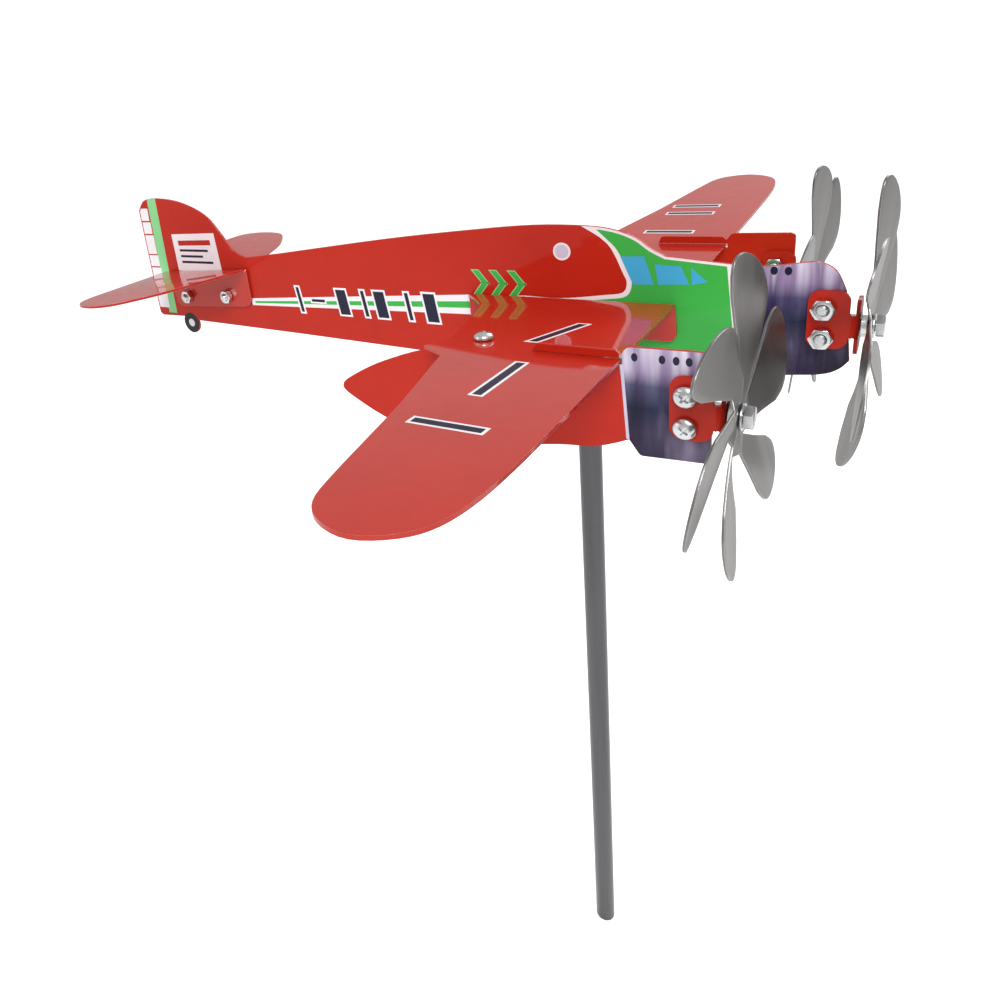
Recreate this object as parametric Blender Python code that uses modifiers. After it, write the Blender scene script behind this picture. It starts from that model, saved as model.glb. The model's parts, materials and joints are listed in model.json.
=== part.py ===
"""Whirligig: a three-propeller aeroplane wind spinner, cut and folded from sheet metal, on a pole.

World frame: metres, +Z up, the nose towards +X. The origin is the centre of the pole's lower end.
The airframe is drawn in its own frame, in millimetres: x forwards and z up from the point where the
pole's axis meets the wing's root plane. "Right" is the aeroplane's own right hand, towards -Y.
"""

import math

import bmesh
import bpy
from mathutils import Matrix, Vector

MM = 0.001

# Driving dimensions, in millimetres.
ROOT_HEIGHT = 305.0  # the wing's root plane above the pole's lower end
SHEET = 1.0  # painted sheet of the airframe
ROTOR_SHEET = 0.6
GAP = 0.3  # left between pieces that rest on each other
BEND = 1.3  # radius of a fold, at the middle of the sheet
PITCH = SHEET + GAP  # between the middles of two sheets that lie together
SQUARE = math.radians(90)
SHARP_ANGLE = math.radians(35)  # edges steeper than this aren't shaded round

HALF_SPAN = 160.0
DIHEDRAL = {-1: math.atan(0.0684), 1: math.atan(0.06)}  # right wing, left wing
TAIL_DIHEDRAL = {-1: math.atan(0.02), 1: math.atan(0.02)}
TAIL_INCIDENCE = {-1: math.atan(0.05), 1: math.atan(-0.02)}
TAIL_SPAN_SHARE = {-1: 0.88, 1: 0.84}  # of the drawn outline; the left one is a little shorter
WING_FLANGE_DROP = 12.0  # the root flange's lower edge below the root plane
TAIL_FLANGE_DROP = 17.0
TAIL_ROOT = (-152.5, 6.0)  # x and z of the tailplane's leading edge at the fuselage
ENGINE_SPREAD = 58.1  # from the fuselage to an engine sheet
ENGINE_SLOT_END = 31.0  # x at which the slot for the wing ends
TAB_HALF_WIDTH = 6.5
TAB_BEYOND_SCREW = 6.0
TAB_CORNER = 3.0
TAB_RELIEF = 0.6  # width of the slits beside a folded tab
TAB_RELIEF_DEPTH = 0.4  # how far the slits run past the fold

POLE_RADIUS = 4.0
POLE_BORE = 3.2
POLE_TOP = -52.3
PIN_RADIUS = 2.5
PLUG_LENGTH = 18
SOCKET_CLEARANCE = 2  # left under the plug
COLLAR = 1.2
PIN_TOP = -31.5
SLEEVE_RADIUS = 5.0
SLEEVE_TOP = -13.0
SLEEVE_FLAT = 4.0  # from the middle to the flats that its screws bear on
BELLY = -25.8  # underside of the fuselage over the pole

SHANK = 1.5  # radius of every M3 screw
HOLE = SHANK + GAP
NUT_FLATS = 5.5
NUT_HEIGHT = 2.4
HEAD_RADIUS = 2.9
HEAD_HEIGHT = 2.0
HEAD_RIM = 0.35  # share of a pan head's height that isn't crowned
SCREW_CHAMFER = 0.4
SHORT_SCREW = 6.0  # through two sheets
LONG_SCREW = 8.0  # through three sheets, and the axles
SWIVEL_SCREW = 12.0

WING_SCREW = (-10.7, 52.6)  # x and distance from the middle
ROOT_BOLTS = ((15.0, -7.5), (-30.0, -7.5))
TAIL_BOLTS = ((-167.1, -6.7), (-193.9, -8.1))
SWIVEL_BOLTS = ((0.0, -16.0), (0.0, -22.2))

# Each propeller bracket: x of its front flange, and the height of its side plate's middle.
SIDE_BRACKET = (54.9, -6.5)
CENTRE_BRACKET = (76.4, -1.8)
AXLE_DROP = 2.7  # axle below the side plate's middle
AXLE_OFFSET = 4.85  # axle beside the side plate's middle plane
BRACKET_HALF_HEIGHT = 8.5
BRACKET_LENGTH = 12.0  # of the side plate, behind the flange
FLANGE_HALF_HEIGHT = 8.0
FLANGE_BEYOND_AXLE = 5.5
BRACKET_SCREWS = ((-8.1, 3.5), (-8.1, -5.1))  # from the flange and the side plate's middle

# Where the pieces on an axle start, forwards from the middle of the bracket's flange.
SPACER = (SHEET / 2 + GAP, 1.5, 3.5)  # start, length, radius
ROTOR_SEAT = SPACER[0] + SPACER[1] + GAP
WASHER = (ROTOR_SEAT + ROTOR_SHEET + GAP, 0.5, 3.5)
AXLE_HEAD = WASHER[0] + WASHER[1] + GAP

BLADES = 6
BLADE_ROOT = 9.5  # radius at which the blades leave the hub disc
BLADE_TIP = 36.5
BLADE_HALF_WIDTHS = ((0.0, 3.6), (0.3, 6.7), (0.6, 10.4), (0.85, 11.4), (1.0, 11.4))
BLADE_ROUND_FROM = 0.70  # share of the blade after which its tip rounds off
BLADE_BENT_BY = 0.35  # share of the blade over which the pitch comes in
BLADE_ROOT_PITCH = -0.137
BLADE_SWEEP = 15.4
ROTOR_REST = {"right": 0.356, "centre": 0.399, "left": 0.771}
# Every blade is bent out of the sheet a little differently: turn in the sheet's plane, forward
# lean, and pitch, all in radians.
BLADE_BENDS = {
    "right": ((-0.02, 0.23, -0.11), (-0.03, 0.22, -0.17), (0.20, 0.12, -0.19),
              (0.06, 0.02, -0.14), (-0.01, 0.00, -0.13), (-0.15, 0.08, 0.01)),
    "centre": ((0.04, 0.17, -0.13), (-0.01, 0.15, -0.09), (0.07, 0.15, -0.16),
               (0.00, 0.12, -0.09), (0.00, 0.11, -0.09), (-0.17, 0.10, -0.29)),
    "left": ((0.00, 0.10, -0.14), (-0.02, 0.17, -0.09), (-0.04, 0.14, -0.14),
             (0.00, 0.10, -0.14), (0.18, 0.03, -0.12), (-0.09, 0.14, -0.04)),
}

ROUND_STEPS = 14


# ---- outlines: lists of points in millimetres ----

def arc(centre, radius, start, end, steps):
    """Points along a circular arc, its angles in degrees."""
    points = []
    for step in range(steps + 1):
        angle = math.radians(start + (end - start) * step / steps)
        points.append((centre[0] + radius * math.cos(angle), centre[1] + radius * math.sin(angle)))
    return points


def circle(centre, radius, steps=ROUND_STEPS):
    return arc(centre, radius, 0, 360, steps)[:-1]


def curve(points, steps=4):
    """A smooth run through the points (Catmull-Rom), ends included."""
    ends = [points[0]] + list(points) + [points[-1]]
    run = []
    for a, b, c, d in zip(ends, ends[1:], ends[2:], ends[3:]):
        for step in range(steps):
            t = step / steps
            run.append(tuple(
                0.5 * (2 * q + (r - p) * t + (2 * p - 5 * q + 4 * r - s) * t ** 2
                       + (3 * q - p - 3 * r + s) * t ** 3)
                for p, q, r, s in zip(a, b, c, d)))
    return run + [tuple(points[-1])]


def rounded(corners, steps=4):
    """A closed loop from (x, y) corners, each rounded where it has a third number, its radius."""
    loop = []
    count = len(corners)
    for index, corner in enumerate(corners):
        here = Vector(corner[:2])
        if len(corner) < 3:
            loop.append(tuple(here))
            continue
        back = (Vector(corners[index - 1][:2]) - here).normalized()
        on = (Vector(corners[(index + 1) % count][:2]) - here).normalized()
        half = back.angle(on) / 2
        centre = here + (back + on).normalized() * corner[2] / math.sin(half)
        first = here + back * corner[2] / math.tan(half)
        last = here + on * corner[2] / math.tan(half)
        for step in range(steps + 1):
            chord = first.lerp(last, step / steps) - centre
            loop.append(tuple(centre + chord.normalized() * corner[2]))
    return loop


# ---- meshes ----

def flat_mesh(outline, holes=(), thickness=0.0):
    """A flat sheet in the XY plane with its middle at z = 0, from a filled 2D curve."""
    data = bpy.data.curves.new("outline", "CURVE")
    data.dimensions = "2D"
    data.fill_mode = "BOTH"
    data.extrude = thickness / 2 * MM
    for loop in (outline, *holes):
        spline = data.splines.new("POLY")
        spline.points.add(len(loop) - 1)
        for point, (x, y) in zip(spline.points, loop):
            point.co = (x * MM, y * MM, 0, 1)
        spline.use_cyclic_u = True
    holder = bpy.data.objects.new("outline", data)
    bpy.context.scene.collection.objects.link(holder)
    graph = bpy.context.evaluated_depsgraph_get()
    mesh = bpy.data.meshes.new_from_object(holder.evaluated_get(graph))
    bpy.data.objects.remove(holder)
    bpy.data.curves.remove(data)
    edit = bmesh.new()
    edit.from_mesh(mesh)
    bmesh.ops.remove_doubles(edit, verts=edit.verts, dist=1e-6)
    if thickness:
        bmesh.ops.recalc_face_normals(edit, faces=edit.faces)
    edit.to_mesh(mesh)
    edit.free()
    return mesh


def fold(mesh, axis, start, angle, sense, lift, strip=(-1e6, 1e6)):
    """Folds the part of a flat sheet that lies past a straight line.

    The line crosses the axis (0 is x, 1 is y) at start. The part on the sense side of it rolls
    through the angle to the lift side, and only between the two limits of strip on the other axis.
    """
    edit = bmesh.new()
    edit.from_mesh(mesh)
    across = Vector((0, 0, 0))
    across[axis] = sense
    roll = BEND * angle
    lines = 3
    for line in range(lines + 1):
        at = Vector((0, 0, 0))
        at[axis] = (start + sense * roll * line / lines) * MM
        geometry = edit.verts[:] + edit.edges[:] + edit.faces[:]
        bmesh.ops.bisect_plane(edit, geom=geometry, dist=1e-7, plane_co=at, plane_no=across)
    for vertex in edit.verts:
        past = sense * (vertex.co[axis] / MM - start)
        if past < 1e-4 or not strip[0] < vertex.co[1 - axis] / MM < strip[1]:
            continue
        turned = min(past / BEND, angle)
        straight = max(past - roll, 0)
        run = BEND * math.sin(turned) + straight * math.cos(angle)
        rise = BEND * (1 - math.cos(turned)) + straight * math.sin(angle)
        vertex.co[axis] = (start + sense * run) * MM
        vertex.co.z = lift * rise * MM
    edit.to_mesh(mesh)
    edit.free()


def turned_mesh(profile, steps=ROUND_STEPS):
    """A turned shape about Z. The (radius, height) profile runs down its outer side."""
    data = bpy.data.meshes.new("profile")
    points = [(radius * MM, 0, height * MM) for radius, height in profile]
    closed = profile[0][0] > 0
    edges = [(i, i + 1) for i in range(len(points) - 1)]
    if closed:
        edges.append((len(points) - 1, 0))
    data.from_pydata(points, edges, [])
    holder = bpy.data.objects.new("profile", data)
    bpy.context.scene.collection.objects.link(holder)
    screw = holder.modifiers.new("turn", "SCREW")
    screw.steps = steps
    screw.render_steps = steps
    screw.use_merge_vertices = True
    screw.merge_threshold = 1e-6
    graph = bpy.context.evaluated_depsgraph_get()
    mesh = bpy.data.meshes.new_from_object(holder.evaluated_get(graph))
    bpy.data.objects.remove(holder)
    return mesh


def hexagon(flats):
    return circle((0, 0), flats / 2 / math.cos(math.radians(30)), 6)


# ---- materials and objects ----

MATERIALS = {
    "red_paint": ((0.55, 0.035, 0.015), 0.28, 0.0),
    "printed_paint": ((0.50, 0.05, 0.02), 0.32, 0.0),
    "grey_paint": ((0.22, 0.23, 0.25), 0.45, 0.3),
    "rotor_steel": ((0.42, 0.41, 0.40), 0.35, 0.9),
    "zinc": ((0.72, 0.73, 0.74), 0.25, 1.0),
    "swivel_steel": ((0.60, 0.61, 0.62), 0.35, 1.0),
}


def make_material(name):
    colour, roughness, metallic = MATERIALS[name]
    material = bpy.data.materials.new(name)
    material.use_nodes = True
    shader = material.node_tree.nodes["Principled BSDF"]
    shader.inputs["Base Color"].default_value = (*colour, 1)
    shader.inputs["Roughness"].default_value = roughness
    shader.inputs["Metallic"].default_value = metallic
    material.diffuse_color = (*colour, 1)
    return material


def place(name, mesh, material, matrix=Matrix(), parent=None, smooth=False):
    """Makes a named object of the mesh. The matrix is in the parent's frame, in millimetres."""
    piece = bpy.data.objects.new(name, mesh)
    parts.objects.link(piece)
    if not mesh.materials:
        mesh.materials.append(material)
    if smooth:
        mesh.shade_smooth()
        mesh.set_sharp_from_angle(angle=SHARP_ANGLE)
    scaled = matrix.copy()
    scaled.translation = matrix.translation * MM
    piece.parent = parent
    piece.matrix_local = scaled
    return piece


def thicken(piece, thickness):
    solidify = piece.modifiers.new("sheet", "SOLIDIFY")
    solidify.thickness = thickness * MM
    solidify.offset = 0
    solidify.use_even_offset = True


def upright(y=0.0):
    """Stands a sheet that was drawn in XY up in the XZ plane. Its +Z side then faces -Y."""
    return Matrix.Translation((0, y, 0)) @ Matrix.Rotation(SQUARE, 4, "X")


def across(x, y, z, towards):
    """Puts a piece drawn along Z on an axis across the airframe, its top towards -Y or +Y."""
    return Matrix.Translation((x, y, z)) @ Matrix.Rotation(-SQUARE * towards, 4, "X")


def forwards(x, y, z):
    return Matrix.Translation((x, y, z)) @ Matrix.Rotation(SQUARE, 4, "Y")


# ---- fuselage ----

def fuselage():
    """The side view of the whole aeroplane: rudder, fin, back, canopy, cowl, belly, tail wheel."""
    fin = curve([(-217.9, 33.0), (-211.4, 38.2), (-195.9, 37.8), (-182.9, 34.6), (-172.5, 29.3),
                 (-165.8, 21.9), (-159.5, 13.7), (-153.0, 11.2)])
    back = curve([(-132.4, 13.4), (-78.4, 19.9), (-40.6, 23.5), (-17.3, 25.1), (0.7, 24.8),
                  (9.8, 23.5), (16.5, 20.9), (21.1, 17.5), (25.5, 15.2)])
    cowl = curve([(44.5, 13.2), (52.5, 12.8), (61.2, 14.0), (66.3, 14.4), (70.5, 12.1),
                  (73.3, 6.3)])
    chin = curve([(75.4, -14.0), (72.9, -16.9), (68.6, -18.9), (58.6, -20.3), (30.0, -24.4),
                  (0.0, -25.8), (-65.7, -24.4)])
    wheel = arc((-198.0, -22.4), 5.2, 18, -217, 14)
    heel = arc((-217.4, -17.2), 2.4, -90, -183, 4)
    outline = fin + back + cowl + chin + [(-129.0, -22.4)] + wheel + heel
    holes = [circle(at, HOLE) for at in ROOT_BOLTS + TAIL_BOLTS + SWIVEL_BOLTS]
    flange_x, plate_z = CENTRE_BRACKET
    holes += [circle((flange_x + dx, plate_z + dz), HOLE) for dx, dz in BRACKET_SCREWS]
    return flat_mesh(outline, holes, SHEET)


# ---- wing and tailplane: a panel with a flange folded down along the fuselage ----

def fold_line(rise):
    """Distance along the panel at which its root fold starts, for a panel that rises so steeply."""
    return (PITCH + BEND * (1 - math.sin(rise))) / math.cos(rise)


def flange_place(rise, drop):
    """Where a point on the folded-down flange lies on the flat sheet, for its drop below the root."""
    angle = SQUARE - rise
    start = fold_line(rise)
    fold_end = BEND * math.cos(rise) - start * math.sin(rise)
    return start - BEND * angle - (drop - fold_end)


def flanged_panel(outline, holes, rise, side):
    """Folds the flat sheet's root, then lifts the panel to its rise and turns it to its side."""
    mesh = flat_mesh(outline, holes)
    fold(mesh, 1, fold_line(rise), SQUARE - rise, -1, -1)
    mesh.transform(Matrix.Rotation(rise, 4, "X"))
    mesh.transform(Matrix.Diagonal((1, side, 1, 1)))
    return mesh


def wing(side):
    dihedral = DIHEDRAL[side]
    stretch = 1 / math.cos(dihedral)
    root = fold_line(dihedral)
    foot = flange_place(dihedral, WING_FLANGE_DROP)
    leading = [(28.6, root), (30.7, 59.0), (32.0, 95.0)]
    tip = curve([(32.7, 121.0), (32.5, 138.0), (30.6, 149.5), (26.4, 156.0), (18.8, HALF_SPAN),
                 (11.0, 158.2), (5.8, 153.0), (2.7, 143.0), (-1.6, 124.0)], 4)
    trailing = [(-5.7, 105.6), (-15.8, 68.1), (-24.7, 63.0)]
    inner = curve([(-21.8, 58.8), (-21.2, 51.0), (-26.2, 30.7), (-31.6, 14.8), (-42.5, root)])
    flange = rounded([(-42.5, root - 1), (-42.5, foot, 4.0), (29.4, foot, 2.5), (28.7, root - 1)])
    panel = [(x, y * stretch) for x, y in leading + tip + trailing + inner]
    holes = [circle((WING_SCREW[0], WING_SCREW[1] * stretch), HOLE)]
    for x, z in ROOT_BOLTS:
        holes.append(circle((x, flange_place(dihedral, -z)), HOLE))
    return flanged_panel(panel + flange, holes, dihedral, side)


def tail_local(x, z, side):
    """A point of the airframe's side view in the tailplane's own tilted frame."""
    turned = Matrix.Rotation(-TAIL_INCIDENCE[side], 2) @ Vector((x - TAIL_ROOT[0], z - TAIL_ROOT[1]))
    return turned.x, turned.y


def stabilizer(side):
    dihedral = TAIL_DIHEDRAL[side]
    root = fold_line(dihedral)
    foot = flange_place(dihedral, TAIL_FLANGE_DROP)
    edge = curve([(-1.5, root), (-7.5, 24.0), (-13.5, 43.0), (-19.5, 54.5), (-26.0, 63.5),
                  (-34.5, 67.3), (-45.0, 66.0), (-51.5, 60.0), (-53.5, 50.0)])
    flange = rounded([(-53.5, root - 1), (-51.0, foot, 3.0), (-1.5, foot, 4.5), (-0.5, root - 1)])
    holes = []
    for bolt in TAIL_BOLTS:
        x, z = tail_local(*bolt, side)
        holes.append(circle((x, flange_place(dihedral, -z)), HOLE))
    edge = [(x, root + (y - root) * TAIL_SPAN_SHARE[side]) for x, y in edge]
    return flanged_panel(edge + [(-53.5, root)] + flange, holes, dihedral, side)


def tail_frame(side):
    tilt = Matrix.Rotation(-TAIL_INCIDENCE[side], 4, "Y")
    return Matrix.Translation((TAIL_ROOT[0], 0, TAIL_ROOT[1])) @ tilt


# ---- engine nacelles ----

def nacelle(side):
    """An upright sheet with an open slot for the wing and a tab folded under the wing."""
    dihedral = DIHEDRAL[side]
    wing_z = ENGINE_SPREAD * math.tan(dihedral)
    under = wing_z - SHEET / 2 - GAP
    over = wing_z + SHEET / 2 + GAP
    angle = SQUARE + dihedral
    tab = (WING_SCREW[0] - TAB_HALF_WIDTH, WING_SCREW[0] + TAB_HALF_WIDTH)
    reach = BEND * (1 + math.sin(dihedral))
    fold_z = wing_z - PITCH - reach * math.tan(dihedral) - BEND * math.cos(dihedral)
    flat_from = fold_z + BEND * angle
    screw_z = flat_from + ENGINE_SPREAD - reach - WING_SCREW[1]
    tab_end = screw_z + TAB_BEYOND_SCREW
    slit_end = fold_z - TAB_RELIEF_DEPTH
    boom = curve([(-60.4, -13.2), (-57.3, -10.8), (-46.5, -5.2), (-32.4, 0.1), (-24.0, under - 1.2)])
    folded = rounded([(tab[0] - TAB_RELIEF, under), (tab[0] - TAB_RELIEF, slit_end),
                      (tab[0], slit_end), (tab[0], tab_end, TAB_CORNER),
                      (tab[1], tab_end, TAB_CORNER), (tab[1], slit_end),
                      (tab[1] + TAB_RELIEF, slit_end), (tab[1] + TAB_RELIEF, under),
                      (ENGINE_SLOT_END, under), (ENGINE_SLOT_END, over),
                      (7.0, over), (8.0, 6.8, 1.2), (29.4, 6.8, 0.8), (30.6, 5.6),
                      (32.2, 8.0, 2.0), (52.5, 8.2, 1.6), (52.5, -21.5, 1.2), (35.4, -22.3, 1.5),
                      (32.6, -18.0)])
    belly = curve([(29.2, -19.6), (22.8, -21.8), (13.3, -22.9), (-3.0, -25.8), (-20.0, -27.0),
                   (-35.0, -26.0), (-46.5, -23.0), (-58.4, -17.0), (-60.8, -14.6)])
    flange_x, plate_z = SIDE_BRACKET
    holes = [circle((flange_x + dx, plate_z + dz), HOLE) for dx, dz in BRACKET_SCREWS]
    holes.append(circle((WING_SCREW[0], screw_z), HOLE))
    mesh = flat_mesh(boom + folded + belly, holes)
    fold(mesh, 1, fold_z, angle, 1, side, (tab[0] - 0.1, tab[1] + 0.1))
    return mesh


# ---- propeller brackets, axles and rotors ----

def bracket():
    """A side plate and a front flange, joined by a short neck that is folded square."""
    bend_from = -BEND
    lobe = bend_from + BEND * SQUARE + 0.3
    axle = bend_from + BEND * SQUARE + AXLE_OFFSET - BEND
    far = axle + FLANGE_BEYOND_AXLE
    high = FLANGE_HALF_HEIGHT - AXLE_DROP
    low = -FLANGE_HALF_HEIGHT - AXLE_DROP
    plate = BRACKET_HALF_HEIGHT
    front = bend_from - 0.5
    outline = rounded([(-BRACKET_LENGTH, -plate, 3.0), (front, -plate, 3.0), (front, -4.8, 0.4),
                       (lobe, -5.8, 0.3), (lobe, low, 1.2), (far, low, 4.0), (far, high, 4.0),
                       (lobe, high, 1.2), (lobe, 1.6, 0.3), (front, 1.6, 0.4),
                       (front, plate, 3.0), (-BRACKET_LENGTH, plate, 3.0)])
    holes = [circle(at, HOLE) for at in BRACKET_SCREWS] + [circle((axle, -AXLE_DROP), HOLE)]
    mesh = flat_mesh(outline, holes)
    fold(mesh, 0, bend_from, SQUARE, 1, -1)
    return mesh


def blade_half_width(t):
    width = BLADE_HALF_WIDTHS[-1][1]
    for (t0, w0), (t1, w1) in zip(BLADE_HALF_WIDTHS, BLADE_HALF_WIDTHS[1:]):
        if t0 <= t <= t1:
            width = w0 + (w1 - w0) * (t - t0) / (t1 - t0)
            break
    past = max(t - BLADE_ROUND_FROM, 0) / (1 - BLADE_ROUND_FROM)
    return width * math.sqrt(max(1 - past ** 2.5, 0))


def blade_point(blade, bend, t, across_share):
    """A point of the rotor's surface: t runs from root to tip, across_share from -1 to 1.

    The rotor turns about Z here, and its blades lean towards +Z.
    """
    shift, lean, full_pitch = bend
    angle = math.tau * blade / BLADES + shift
    outward = Vector((math.cos(angle), math.sin(angle), 0))
    along = Vector((-math.sin(angle), math.cos(angle), 0))
    pitch = BLADE_ROOT_PITCH
    pitch += (full_pitch - BLADE_ROOT_PITCH) * min(1, t / BLADE_BENT_BY)
    chord = along * math.cos(pitch) + Vector((0, 0, math.sin(pitch)))
    offset = blade_half_width(t) * across_share
    reach = (BLADE_TIP - BLADE_ROOT) * t
    point = outward * (BLADE_ROOT + reach) + chord * (offset + BLADE_SWEEP * t)
    point.z += lean * reach
    return point * MM


def rotor(bends):
    """One stamped sheet: a hub disc with six scimitar blades twisted out of it."""
    columns = 4
    rows = [0.0, 0.12, 0.30, 0.45, 0.60, 0.74, 0.85, 0.93, 0.98]
    edit = bmesh.new()
    for blade, bend in enumerate(bends):
        grid = [[edit.verts.new(blade_point(blade, bend, t, 2 * column / columns - 1))
                 for column in range(columns + 1)] for t in rows]
        tip = edit.verts.new(blade_point(blade, bend, 1.0, 0.0))
        for lower, upper in zip(grid, grid[1:]):
            for column in range(columns):
                edit.faces.new((lower[column], lower[column + 1], upper[column + 1],
                                upper[column]))
        for column in range(columns):
            edit.faces.new((grid[-1][column], grid[-1][column + 1], tip))
    edit.verts.ensure_lookup_table()
    per_blade = len(rows) * (columns + 1) + 1
    rim = []
    for blade in range(BLADES):
        rim += [edit.verts[blade * per_blade + column] for column in range(columns + 1)]
    bore = []
    for vertex in rim:
        angle = math.atan2(vertex.co.y, vertex.co.x)
        bore.append(edit.verts.new((HOLE * MM * math.cos(angle), HOLE * MM * math.sin(angle), 0)))
    for index in range(len(rim)):
        following = (index + 1) % len(rim)
        edit.faces.new((bore[index], bore[following], rim[following], rim[index]))
    mesh = bpy.data.meshes.new("rotor")
    bmesh.ops.recalc_face_normals(edit, faces=edit.faces)
    edit.to_mesh(mesh)
    edit.free()
    return mesh


# ---- pole and swivel ----

def pole_rod():
    """A round bar with a socket for the pivot pin bored into its top."""
    bottom = -ROOT_HEIGHT
    floor = POLE_TOP - PLUG_LENGTH - SOCKET_CLEARANCE
    return turned_mesh([(0, floor), (POLE_BORE, floor), (POLE_BORE, POLE_TOP),
                        (POLE_RADIUS, POLE_TOP), (POLE_RADIUS, bottom), (0, bottom)], 32)


def pivot_pin():
    """Plug, collar and pivot in one turned piece, with a rounded top for the socket to ride on."""
    dome = [(PIN_RADIUS * math.sin(math.radians(a)), PIN_TOP - 1 + math.cos(math.radians(a)))
            for a in (0, 30, 60, 90)]
    collar = POLE_TOP + GAP
    plug = POLE_BORE - GAP
    return turned_mesh(dome + [(PIN_RADIUS, collar + COLLAR), (POLE_RADIUS, collar + COLLAR),
                               (POLE_RADIUS, collar), (plug, collar), (plug, POLE_TOP - PLUG_LENGTH),
                               (0, POLE_TOP - PLUG_LENGTH)])


def swivel_sleeve():
    """A blind socket over the pin. Its top is slotted over the fuselage and has two flats."""
    bore = PIN_RADIUS + GAP
    bottom = POLE_TOP + GAP + COLLAR + GAP
    return turned_mesh([(0, SLEEVE_TOP), (SLEEVE_RADIUS, SLEEVE_TOP), (SLEEVE_RADIUS, bottom),
                        (bore, bottom), (bore, PIN_TOP + GAP), (0, PIN_TOP + GAP)], 28)


def box_cutter(name, low, high):
    """A block between two corners, in the airframe's millimetres."""
    mesh = bpy.data.meshes.new(name)
    edit = bmesh.new()
    bmesh.ops.create_cube(edit, size=1)
    edit.to_mesh(mesh)
    edit.free()
    size = [(b - a) * MM for a, b in zip(low, high)]
    middle = Vector([(a + b) / 2 * MM for a, b in zip(low, high)])
    mesh.transform(Matrix.Translation(middle) @ Matrix.Diagonal((*size, 1)))
    return cutter(name, mesh)


def cutter(name, mesh):
    tool = bpy.data.objects.new(name, mesh)
    cutters.objects.link(tool)
    tool.hide_render = True
    tool.display_type = "WIRE"
    tool.location = (0, 0, ROOT_HEIGHT * MM)
    return tool


def cut(piece, tool):
    modifier = piece.modifiers.new(tool.name, "BOOLEAN")
    modifier.operation = "DIFFERENCE"
    modifier.object = tool


def shape_sleeve(sleeve):
    """The slot over the fuselage, the flats beside it and the holes for the two screws."""
    wide = SLEEVE_RADIUS + 1
    slot = SHEET / 2 + GAP
    over = SLEEVE_TOP + 1
    under = BELLY - GAP
    cut(sleeve, box_cutter("slot_cutter", (-wide, -slot, under), (wide, slot, over)))
    cut(sleeve, box_cutter("right_flat_cutter", (-wide, -wide, under), (wide, -SLEEVE_FLAT, over)))
    cut(sleeve, box_cutter("left_flat_cutter", (-wide, SLEEVE_FLAT, under), (wide, wide, over)))
    for which, (x, z) in zip(("upper", "lower"), SWIVEL_BOLTS):
        drill = turned_mesh([(0, wide), (HOLE, wide), (HOLE, -wide), (0, -wide)])
        drill.transform(Matrix.Rotation(SQUARE, 4, "X"))
        drill.transform(Matrix.Translation((x * MM, 0, z * MM)))
        cut(sleeve, cutter(f"{which}_drill", drill))


# ---- fasteners, drawn along Z with the underside of the head at z = 0 ----

def pan_screw(length):
    """A pan-head machine screw."""
    rise = HEAD_HEIGHT * (1 - HEAD_RIM)
    rim = HEAD_HEIGHT * HEAD_RIM
    crown = [(HEAD_RADIUS * math.sin(math.radians(a)), rim + rise * math.cos(math.radians(a)))
             for a in (0, 25, 50, 70, 90)]
    return turned_mesh(crown + [(HEAD_RADIUS, 0), (SHANK, 0), (SHANK, -length + SCREW_CHAMFER),
                                (SHANK - SCREW_CHAMFER, -length), (0, -length)])


def hex_bolt(length):
    """A hexagon-head bolt: the head is a six-sided cone primitive, joined to a turned shank."""
    shank = turned_mesh([(0, HEAD_HEIGHT / 2), (SHANK, HEAD_HEIGHT / 2), (SHANK, -length + SCREW_CHAMFER),
                         (SHANK - SCREW_CHAMFER, -length), (0, -length)])
    head = flat_mesh(hexagon(NUT_FLATS), (), HEAD_HEIGHT)
    head.transform(Matrix.Translation((0, 0, HEAD_HEIGHT / 2 * MM)))
    holder = bpy.data.objects.new("shank", shank)
    tool = bpy.data.objects.new("head", head)
    for item in (holder, tool):
        bpy.context.scene.collection.objects.link(item)
    join = holder.modifiers.new("join", "BOOLEAN")
    join.operation = "UNION"
    join.object = tool
    graph = bpy.context.evaluated_depsgraph_get()
    mesh = bpy.data.meshes.new_from_object(holder.evaluated_get(graph))
    for item in (holder, tool):
        bpy.data.objects.remove(item)
    return mesh


def nut():
    """A hexagon nut, its lower face at z = 0."""
    mesh = flat_mesh(hexagon(NUT_FLATS), [circle((0, 0), HOLE)], NUT_HEIGHT)
    mesh.transform(Matrix.Translation((0, 0, NUT_HEIGHT / 2 * MM)))
    return mesh


def ring(start_length_radius):
    """A washer or spacer on an axle, its lower face at z = 0."""
    _, length, radius = start_length_radius
    mesh = flat_mesh(circle((0, 0), radius, 24), [circle((0, 0), HOLE)], length)
    mesh.transform(Matrix.Translation((0, 0, length / 2 * MM)))
    return mesh


# ---- assembly ----

for leftover in list(bpy.data.objects):
    bpy.data.objects.remove(leftover)
parts = bpy.data.collections.new("whirligig")
cutters = bpy.data.collections.new("cutters")
for group in (parts, cutters):
    bpy.context.scene.collection.children.link(group)
paint = {name: make_material(name) for name in MATERIALS}


def axis_empty(name, parent, x, y, z):
    empty = bpy.data.objects.new(name, None)
    parts.objects.link(empty)
    empty.parent = parent
    empty.location = (x * MM, y * MM, z * MM)
    return empty


pole = axis_empty("pole_frame", None, 0, 0, ROOT_HEIGHT)
airframe = axis_empty("airframe_axis", pole, 0, 0, 0)

place("pole_rod", pole_rod(), paint["grey_paint"], parent=pole, smooth=True)
place("pivot_pin", pivot_pin(), paint["swivel_steel"], parent=pole, smooth=True)
shape_sleeve(place("swivel_sleeve", swivel_sleeve(), paint["swivel_steel"], parent=airframe,
                   smooth=True))
place("fuselage_panel", fuselage(), paint["printed_paint"], upright(), airframe)

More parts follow.
